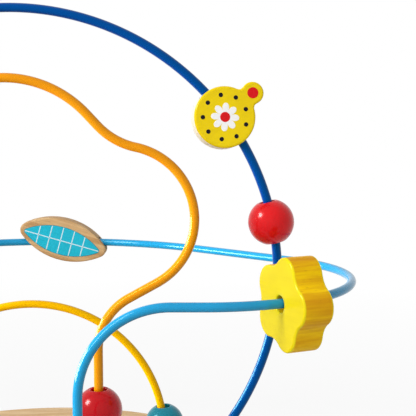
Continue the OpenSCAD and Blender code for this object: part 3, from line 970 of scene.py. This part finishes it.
class MAZE_OT_wires(bpy.types.Operator):
    """Sweeps the four coated wires along their bending programs"""

    bl_idname = "maze.wires"
    bl_label = "Wires"

    def execute(self, context):
        wires, finishes = settings("wires", "finishes")
        for name, path in ROUTES.items():
            rows = tube(path(wires), wires.diameter / 2, name == "loop")
            made = make_mesh("wire_" + name, rows, np.eye(4))
            shine = gloss(finishes.wire_gloss, getattr(finishes, name + "_shine"))
            dress(made, name + "_wire", coated(name + "_coating", getattr(finishes, name), shine))
        return {"FINISHED"}


class MAZE_OT_board(bpy.types.Operator):
    """Turns the board from a section with rounded edges and drills its sockets"""

    bl_idname = "maze.board"
    bl_label = "Board"

    def execute(self, context):
        wires, board, finishes = settings("wires", "board", "finishes")
        low, high = box_of("base_board")
        radius = (high[0] - low[0]) / 2
        corners = [(BOARD_CORE, low[2], 0), (radius, low[2], board.heel_round)]
        corners += [(radius, high[2], board.edge_round), (BOARD_CORE, high[2], 0)]
        made = make_mesh("board", revolved(rounded(corners), BOARD_SIDES), np.eye(4))
        core, wide = board.collar_shank / 4, board.collar_shank / 2 + board.fit
        floor, top = wires.end_height, high[2] + CUT_PAST
        socket = rounded([(core, floor, 0), (wide, floor, 0), (wide, top, 0), (core, top, 0)])
        for node in nodes_of("collar_"):
            cut(made, make_mesh("cutter", revolved(socket, SOCKET_SIDES), upright_at(node)), np.eye(4))
        wood = wooden("plank_varnish", finishes.wood, finishes.wood_dark, BOARD_RINGS, SATIN, ALONG_X)
        dress(made, "base_board", wood)
        return {"FINISHED"}


def turned_piece(node, name, corners, sides, material, steps=ROUND_STEPS, closed=False):
    """A piece with crisp edges, turned from a profile of rounded corners about the upright line through a
    node's middle."""
    made = make_mesh(name, revolved(rounded(corners, steps), sides), upright_at(node), closed)
    made.data.set_sharp_from_angle(angle=TURNED_CRISP)
    return dress(made, node, material)


class MAZE_OT_collars(bpy.types.Operator):
    """Turns the collars that hold the wires' feet in the board"""

    bl_idname = "maze.collars"
    bl_label = "Collars"

    def execute(self, context):
        wires, board, finishes = settings("wires", "board", "finishes")
        plastic = coated("collar_plastic", finishes.plastic, gloss(COLLAR_GLOSS, finishes.plastic))
        bore, shank = wires.diameter / 2 + board.fit, board.collar_shank / 2
        for node in nodes_of("collar_"):
            low, high = box_of(node)
            flange = (high[0] - low[0]) / 2
            seat, top = high[2] - board.collar_flange, flange - board.collar_taper / 2
            corners = [(bore, low[2], 0), (shank, low[2], TOE), (shank, seat, 0), (flange, seat, LIP)]
            corners += [(top, high[2], CROWN), (bore, high[2], MOUTH)]
            turned_piece(node, node.replace("collar", "ferrule"), corners, COLLAR_SIDES, plastic, closed=True)
        return {"FINISHED"}


class MAZE_OT_foot_pads(bpy.types.Operator):
    """Turns the rubber foot pads, with ring grooves underneath"""

    bl_idname = "maze.foot_pads"
    bl_label = "Foot pads"

    def execute(self, context):
        board, finishes = settings("board", "finishes")
        rubber = coated("grip_rubber", finishes.rubber, gloss(PAD_GLOSS, finishes.plastic))
        for node in nodes_of("foot_pad_"):
            low, high = box_of(node)
            radius = (high[0] - low[0]) / 2
            corners = [(PAD_CORE * radius, low[2], 0)]
            for start in GROOVES:
                for past, deep, edge in GROOVE:
                    corners.append(((start + past) * radius, low[2] + deep * board.pad_groove, edge))
            corners += [(radius, low[2], PAD_HEEL), (radius, high[2], PAD_TOP)]
            corners.append((PAD_CORE * radius, high[2], 0))
            turned_piece(node, node.replace("foot_pad", "pad"), corners, PAD_SIDES, rubber, steps=PAD_STEPS)
        return {"FINISHED"}


def bored_ball(radius, bore, mouth):
    """Profile of a ball with a bore: the ball's arc, an arc that touches the ball and the bore at each mouth,
    and the bore's wall."""
    rise = math.sqrt((radius - mouth) ** 2 - (bore + mouth) ** 2)
    edge = math.atan2(rise, bore + mouth)
    ball = arc((0, 0), radius, -edge, edge, BALL_STEPS)
    upper = arc((bore + mouth, rise), mouth, edge, math.pi, MOUTH_STEPS)
    wall = np.stack([np.full(WALL_STEPS, bore), np.linspace(rise, -rise, WALL_STEPS)], axis=-1)
    return np.vstack([ball, upper, wall[:-1], upper[::-1] * (1, -1)])


class MAZE_OT_round_beads(bpy.types.Operator):
    """Turns the round beads, each on the wire that its joint follows"""

    bl_idname = "maze.round_beads"
    bl_label = "Round beads"

    def execute(self, context):
        beads, finishes = settings("beads", "finishes")
        profile = bored_ball(beads.diameter / 2, beads.bore / 2, beads.mouth_round)
        shapes = ("disc_bead", "flower_bead", "leaf_bead", "barrel_bead")
        for node in [name for name in NODE_BODY if name.endswith("_bead") and name not in shapes]:
            # The red bead on the wavy wire's leg takes the beads' red darkened as painted shade
            paint = "crimson" if node == "red_leg_bead" else node.split("_")[0]
            rows = revolved(profile, BEAD_SIDES)
            made = make_mesh(node.replace("_bead", "_ball"), rows, bead_place(node), closed=True)
            dress(made, node, glossy(paint, finishes))
        return {"FINISHED"}


class MAZE_OT_barrel_bead(bpy.types.Operator):
    """Turns the barrel bead, whose side swells to the middle"""

    bl_idname = "maze.barrel_bead"
    bl_label = "Barrel bead"

    def execute(self, context):
        beads, finishes = settings("beads", "finishes")
        low, high = box_of("barrel_bead")
        half, bore, end = (high[2] - low[2]) / 2, beads.bore / 2, beads.barrel_end / 2
        bulge = beads.diameter / 2 - end
        swell_r = (half**2 + bulge**2) / (2 * bulge)
        heights = np.linspace(-SWELL_SHARE * half, SWELL_SHARE * half, SWELL_STEPS)
        swell = beads.diameter / 2 - swell_r + np.sqrt(swell_r**2 - heights**2)
        corners = [(bore, -half, beads.mouth_round), (end, -half, beads.edge_round)]
        corners += [(radius, height, 0) for radius, height in zip(swell, heights)]
        corners += [(end, half, beads.edge_round), (bore, half, beads.mouth_round)]
        rows = revolved(rounded(corners), BEAD_SIDES)
        made = make_mesh("barrel", rows, bead_place("barrel_bead"), closed=True)
        dress(made, "barrel_bead", glossy("green", finishes))
        return {"FINISHED"}


def level_bore(beads, wires, stray):
    """Bore of a bead that hangs below a level wire while the wire strays sideways in it by that much."""
    return wires.diameter + 2 * (beads.play + math.hypot(beads.level_drop, stray))


def bow(half, radius):
    """How far a bend of that radius bows within a bead of that half length."""
    return radius - math.sqrt(radius**2 - half**2)


def printed(name, outline, height, matrix, material, node):
    """A thin layer of print on a node's face at that height."""
    thickness = bpy.context.scene.maze_print.thickness
    rows, bands = slab(outline, 2 * thickness, thickness)
    made = make_mesh(name, rows + height * UP, matrix, bands=0 * bands)
    return dress(made, node, material, stands_for=False)


def along_bore(half, radius):
    """Rows of a cutter for a straight bore along Z."""
    return revolved(np.array(((radius, -half), (radius, half))), BORE_SIDES)


class MAZE_OT_disc_bead(bpy.types.Operator):
    """Makes the disc bead with its tab, drills it and prints a daisy and dots on it"""

    bl_idname = "maze.disc_bead"
    bl_label = "Disc bead"

    def execute(self, context):
        wires, beads, finishes = settings("wires", "beads", "finishes")
        hang = (beads.bore - wires.diameter) / 2 - beads.play
        on_wire = shift(*JOINTS["disc_along_hoop"]["pos_m"]) @ turn("Y", -beads.disc_place)
        on_wire = on_wire @ shift(wires.hoop_radius - hang, 0, 0) @ turn("Z", beads.disc_spin)
        place = on_wire @ turn("Y", -beads.tab_turn) @ turn("X", SQUARE)
        rows, bands = slab(disc_outline(beads), beads.disc_thickness, beads.edge_round)
        made = make_mesh("disc", rows, place, bands=bands)
        bore = along_bore(beads.disc, beads.bore / 2)
        cut(made, make_mesh("cutter", bore, on_wire, bands=[SIDE, SIDE]), place)
        yellow = painted("disc_paint", finishes.yellow, DISC_SHOW, SATIN, ALONG_X)
        cream = wooden("cream_wood", finishes.cream, finishes.cream_dark, DISC_RINGS, DRY, ALONG_X)
        dress(made, "disc_bead", yellow, cream)
        self.decorate(beads, finishes, context.scene.maze_print, place)
        return {"FINISHED"}

    def decorate(self, beads, finishes, prints, place):
        """A daisy whose radius waves between its petals and notches, dots on a ring round it, and one on the
        tab."""
        face, node = beads.disc_thickness / 2, "disc_bead"
        around = FULL * np.arange(DAISY_STEPS) / DAISY_STEPS
        wave = np.abs(np.cos(around * prints.daisy_petals / 2)) ** BLUNT
        reach = prints.daisy_notch + (prints.daisy - prints.daisy_notch) * wave
        white, black, red = (
            painted(name + "_print", getattr(finishes, name)) for name in ("white", "black", "red")
        )
        printed("disc_daisy", reach[:, None] * circle_of(DAISY_STEPS), face, place, white, node)
        heart = prints.daisy_heart * circle_of(HEART_SIDES)
        printed("disc_daisy_heart", heart, face + prints.thickness, place, red, node)
        turns = [FULL * (i + 0.5) / prints.dots for i in range(prints.dots)]
        spots = [(prints.dot_ring, prints.dot, turned, black) for turned in turns]
        spots.append((beads.tab_reach, prints.tab_dot, 0.0, red))
        for number, (away, radius, turned, paint) in enumerate(spots):
            spot = place @ turn("Z", turned) @ shift(away, 0, 0)
            printed(f"disc_dot_{number}", radius * circle_of(DOT_SIDES), face, spot, paint, node)


class MAZE_OT_flower_bead(bpy.types.Operator):
    """Makes the flower bead, whose bore runs through its faces"""

    bl_idname = "maze.flower_bead"
    bl_label = "Flower bead"

    def execute(self, context):
        wires, beads, finishes = settings("wires", "beads", "finishes")
        half = beads.flower_thickness / 2
        bowed = bow(half, wires.loop_turn_radius)
        bore = level_bore(beads, wires, half * math.tan(beads.flower_skew) + bowed / 2)
        place = shift(*JOINTS["flower_along_loop"]["pos_m"]) @ shift(0, 0, -beads.level_drop)
        place = place @ turn("Z", beads.flower_place - SQUARE)
        place = place @ shift(wires.loop_turn_radius - bowed / 2, 0, 0)
        place = place @ turn("Z", -beads.flower_skew) @ turn("X", SQUARE) @ turn("Z", beads.flower_turn)
        outline = flower_outline(beads)
        rows, bands = slab(outline, beads.flower_thickness, beads.edge_round, bore / 2, beads.mouth_round)
        made = make_mesh("flower", rows, place, closed=True, bands=bands)
        lemon = painted("flower_paint", finishes.lemon, PAINT_SHOW, SATIN, ALONG_X)
        stained = wooden("flower_stain", finishes.stain, finishes.stain_dark, FLOWER_RINGS, SATIN)
        dress(made, "flower_bead", lemon, stained, stained)
        return {"FINISHED"}


class MAZE_OT_leaf_bead(bpy.types.Operator):
    """Makes the leaf bead, drills it along the wire and paints its panel"""

    bl_idname = "maze.leaf_bead"
    bl_label = "Leaf bead"

    def execute(self, context):
        wires, beads, finishes = settings("wires", "beads", "finishes")
        shape, slope = (beads.leaf_length, beads.leaf_width, beads.leaf_tip), beads.leaf_slope
        edge = leaf_edge(*shape)
        drop = edge - beads.leaf_width / 2 - beads.leaf_low
        half = math.sqrt(edge**2 - (drop * math.cos(slope)) ** 2) - drop * math.sin(slope)
        bowed = bow(half, wires.loop_back_radius)
        on_wire = shift(*JOINTS["leaf_along_loop"]["pos_m"]) @ shift(0, 0, -beads.level_drop)
        on_wire = on_wire @ turn("Z", SQUARE + beads.leaf_place)
        on_wire = on_wire @ shift(wires.loop_back_radius - bowed / 2, 0, 0)
        place = on_wire @ shift(0, 0, beads.leaf_low) @ turn("X", slope)
        place = place @ turn("Z", -SQUARE) @ turn("X", SQUARE)
        rows, bands = slab(leaf_outline(*shape), beads.leaf_thickness, beads.edge_round)
        made = make_mesh("leaf", rows, place, bands=0 * bands)
        bore = along_bore(beads.leaf_length, level_bore(beads, wires, bowed / 2) / 2)
        cut(made, make_mesh("cutter", bore, on_wire @ turn("X", SQUARE)), place)
        wood = wooden("leaf_wood", finishes.rim, finishes.rim_dark, LEAF_RINGS, DRY, ALONG_X)
        dress(made, "leaf_bead", wood)
        self.decorate(beads, finishes, context.scene.maze_print, place)
        return {"FINISHED"}

    def decorate(self, beads, finishes, prints, place):
        """A pointed panel with a dark line round it, one line along it and lines across it."""
        node, layers = "leaf_bead", beads.leaf_thickness / 2 + prints.thickness * np.arange(3)
        dark = painted("panel_edge_paint", finishes.panel_dark)
        blue = painted("panel_paint", finishes.panel, PAINT_SHOW)
        pale = painted("pale_print", finishes.pale)
        panel = place @ shift(prints.panel_along, prints.panel_across, 0)
        shape = np.array((prints.panel_length, prints.panel_width, prints.panel_tip))
        printed("leaf_panel_edge", leaf_outline(*shape), layers[0], panel, dark, node)
        long, wide, tip = shape - np.array((2, 2, 1)) * prints.panel_edge
        printed("leaf_panel", leaf_outline(long, wide, tip), layers[1], panel, blue, node)
        ends = np.array(((-0.5, -0.5), (0.5, -0.5), (0.5, 0.5), (-0.5, 0.5)))
        sides = zip(ends, np.roll(ends, -1, 0))
        strip = np.vstack([np.linspace(a, b, LINE_STEPS, endpoint=False) for a, b in sides])
        printed("leaf_line_along", strip * (long, prints.line), layers[2], panel, pale, node)
        edge = leaf_edge(long, wide, tip)
        for number in range(prints.lines):
            at = (number - (prints.lines - 1) / 2) * prints.line_step + prints.line_along
            reach = math.sqrt(edge**2 - at**2) - edge + wide / 2
            line, cross = strip * (prints.line, 2 * reach), panel @ shift(at, 0, 0)
            printed(f"leaf_line_across_{number}", line, layers[2], cross, pale, node)


# Colours of the sweep, steps of its bend, and distances from the maze between which its shadow fades
WHITE, GREY = (1, 1, 1, 1), (0.6, 0.6, 0.6, 1)
SWEEP_STEPS = 24
SHADOW_NEAR, SHADOW_FAR = 0.25, 0.8
# Direction of the brightest sky, and how fast the sky fades away from it
SKY_FROM, SKY_FADE = (-0.63, -0.76, 0.15), 2.1
# What the lamps are turned to
AIM = np.array((0.0, 0.0, 0.14))
# The lamps: place, width and height, whether only gloss shows them, and what they light
LAMPS = {
    "key": ((-1.05, -0.45, 0.95), (0.36, 0.36), False, "not_wires"),
    "spot_panel": ((-1.1, -0.5, 1.0), (0.45, 0.45), True, "not_wires"),
    "wire_lamp": ((-1.0, 0.05, 0.22), (1.0, 0.42), False, "wires"),
    "wire_strip": ((-0.75, -0.75, 0.75), (0.3, 0.9), False, "wires"),
}


class MAZE_OT_studio(bpy.types.Operator):
    """Sets up the white sweep, the lamps, the sky and the camera"""

    bl_idname = "maze.studio"
    bl_label = "Studio"

    def execute(self, context):
        scene, studio = context.scene, context.scene.maze_studio
        self.sweep(studio)
        self.sky(scene, studio)
        receivers = {name: bpy.data.collections.new(name) for name in ("wires", "not_wires")}
        for name in ROUTES:
            for group in receivers.values():
                group.objects.link(bpy.data.objects["wire_" + name])
        for member in receivers["not_wires"].collection_objects:
            member.light_linking.link_state = "EXCLUDE"
        for name, (place, size, gloss_only, receiver) in LAMPS.items():
            made = self.lamp(name, np.array(place), size, getattr(studio, name), gloss_only)
            made.light_linking.receiver_collection = receivers[receiver]
        self.camera(scene, studio)
        scene.view_settings.view_transform = "Standard"
        return {"FINISHED"}

    def sweep(self, studio):
        """A floor that bends up into a wall: a profile of floor, quarter circle and wall carried along X."""
        quarter = np.linspace(0, SQUARE, SWEEP_STEPS)
        bend_r, back, near, tall, side = 0.5, 1.6, -2.2, 2.4, 3.0
        y = np.concatenate([[near, 0], back + bend_r * np.sin(quarter), [back + bend_r]])
        z = np.concatenate([[0, 0], bend_r * (1 - np.cos(quarter)), [tall]])
        profile = np.stack([0 * y, y, z], axis=-1)
        rows = profile[:, None] + np.array(((-side, 0, 0), (side, 0, 0)))[None]
        mesh = bpy.data.meshes.new("sweep")
        first = 2 * np.arange(len(profile) - 1)[:, None]
        mesh.from_pydata(rows.reshape(-1, 3).tolist(), [], (first + np.array((0, 1, 3, 2))).tolist())
        mesh.polygons.foreach_set("use_smooth", np.ones(len(mesh.polygons), bool))
        material = bpy.data.materials.new("white_sweep")
        tree = cleared(material)
        shown = self.shown_rays(tree)
        lit = put(tree, "ShaderNodeBsdfDiffuse", {"Color": GREY})
        white = put(tree, "ShaderNodeEmission", {"Color": WHITE, "Strength": 1.0})
        place = put(tree, "ShaderNodeTexCoord").outputs["Object"]
        far = put(tree, "ShaderNodeVectorMath", {0: place}, operation="LENGTH").outputs["Value"]
        plain = ranged(tree, far, SHADOW_NEAR, SHADOW_FAR, 1 - studio.shadow, 1)
        share = maths(tree, "MULTIPLY", shown, plain)
        both = put(tree, "ShaderNodeMixShader", {0: share, 1: lit.outputs[0], 2: white.outputs[0]})
        put(tree, "ShaderNodeOutputMaterial", {"Surface": both.outputs[0]})
        mesh.materials.append(material)
        new_object("sweep", mesh)

    def shown_rays(self, tree):
        """1 for rays that show the background: from the camera, from gloss and through glass."""
        rays = put(tree, "ShaderNodeLightPath").outputs
        seen = maths(tree, "MAXIMUM", rays["Is Camera Ray"], rays["Is Glossy Ray"])
        return maths(tree, "MAXIMUM", seen, rays["Is Transmission Ray"])

    def sky(self, scene, studio):
        """Light from all round that fades from the front left to the back right, and is seen as white."""
        world = bpy.data.worlds.new("studio")
        tree = cleared(world)
        shown = self.shown_rays(tree)
        inputs = {0: put(tree, "ShaderNodeTexCoord").outputs["Generated"], 1: SKY_FROM}
        facing = put(tree, "ShaderNodeVectorMath", inputs, operation="DOT_PRODUCT").outputs["Value"]
        fading = maths(tree, "POWER", ranged(tree, facing, -1, 1, 0, 1), SKY_FADE)
        light = ranged(tree, fading, 0, 1, studio.sky_dim, studio.sky_bright)
        strength = ranged(tree, shown, 0, 1, light, 1)
        background = put(tree, "ShaderNodeBackground", {"Color": WHITE, "Strength": strength})
        put(tree, "ShaderNodeOutputWorld", {"Surface": background.outputs[0]})
        scene.world = world

    def lamp(self, name, place, size, power, gloss_only):
        """An oblong area lamp turned to the aim, which may show only in gloss."""
        light = bpy.data.lights.new(name, "AREA")
        light.shape, light.energy = "RECTANGLE", power
        light.size, light.size_y = size
        made = new_object(name, light)
        made.matrix_world = Matrix(standing_on(place - AIM, place))
        made.visible_diffuse = not gloss_only
        made.visible_camera = False
        return made

    def camera(self, scene, studio):
        """The picture's camera: its focal length in pixels over the picture's width is lens over sensor."""
        lens = bpy.data.cameras.new("camera")
        lens.sensor_width = 36
        lens.lens = lens.sensor_width * studio.focal / PICTURE
        lens.clip_start, lens.clip_end = 0.01, 20
        scene.camera = new_object("camera", lens)
        scene.camera.location = studio.camera
        scene.camera.rotation_euler = (SQUARE - studio.pitch, 0, 0)


OPERATORS = (
    MAZE_OT_board, MAZE_OT_foot_pads, MAZE_OT_collars, MAZE_OT_wires, MAZE_OT_round_beads,
    MAZE_OT_barrel_bead, MAZE_OT_disc_bead, MAZE_OT_flower_bead, MAZE_OT_leaf_bead, MAZE_OT_studio,
)
GROUPS_OF_SETTINGS = {
    "maze_wires": WireSizes, "maze_board": BoardSizes, "maze_beads": BeadSizes, "maze_print": PrintSizes,
    "maze_finishes": Finishes, "maze_studio": Studio,
}


class MAZE_PT_panel(bpy.types.Panel):
    """Lists the maze's pieces in the sidebar"""

    bl_idname = "MAZE_PT_panel"
    bl_label = "Bead maze"
    bl_space_type = "VIEW_3D"
    bl_region_type = "UI"
    bl_category = "Bead maze"

    def draw(self, context):
        for operator in OPERATORS:
            self.layout.operator(operator.bl_idname)


def register():
    """Registers the settings, the operators and the panel."""
    for name, group in GROUPS_OF_SETTINGS.items():
        bpy.utils.register_class(group)
        setattr(bpy.types.Scene, name, bpy.props.PointerProperty(type=group))
    for member in (*OPERATORS, MAZE_PT_panel):
        bpy.utils.register_class(member)


def unregister():
    """Undoes register."""
    for member in reversed((*OPERATORS, MAZE_PT_panel)):
        bpy.utils.unregister_class(member)
    for name, group in GROUPS_OF_SETTINGS.items():
        delattr(bpy.types.Scene, name)
        bpy.utils.unregister_class(group)


def main():
    """Builds every piece and the studio."""
    register()
    for operator in OPERATORS:
        space, name = operator.bl_idname.split(".")
        getattr(getattr(bpy.ops, space), name)()


if __name__ == "__main__":
    main()
